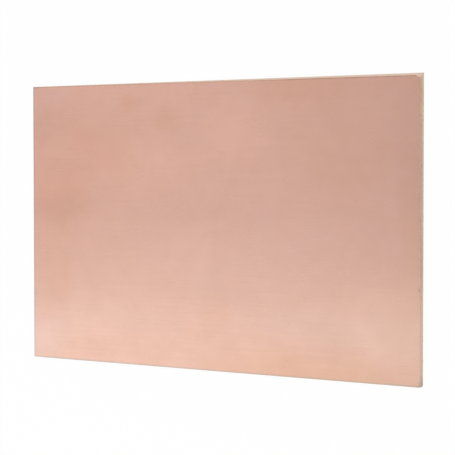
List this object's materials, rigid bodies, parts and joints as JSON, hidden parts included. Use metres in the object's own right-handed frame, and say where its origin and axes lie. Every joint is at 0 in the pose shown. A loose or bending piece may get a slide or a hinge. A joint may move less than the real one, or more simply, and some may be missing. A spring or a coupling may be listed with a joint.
{
  "type": "copper-clad board",
  "caption": "Flat rectangular glass-epoxy board with bare copper foil on one face, blank stock for etching or milling circuits.",
  "frame": {"origin": "middle of the back face, the bare laminate side that the board lies on", "axes": "+X along the long side, +Y along the short side, +Z out of the copper face; the slanted cuts are on the +Y and +X edges"},
  "size_m": [0.16, 0.1, 0.0016],
  "materials": {
    "laminate": "cured glass-epoxy, cream with a faint cloth weave, rough where cut",
    "copper": "bare rolled copper foil, dull satin, lightly tarnished"
  },
  "bodies": {
    "root": {"glass_epoxy_core": "laminate", "copper_foil": "copper"}
  },
  "joints": []
}
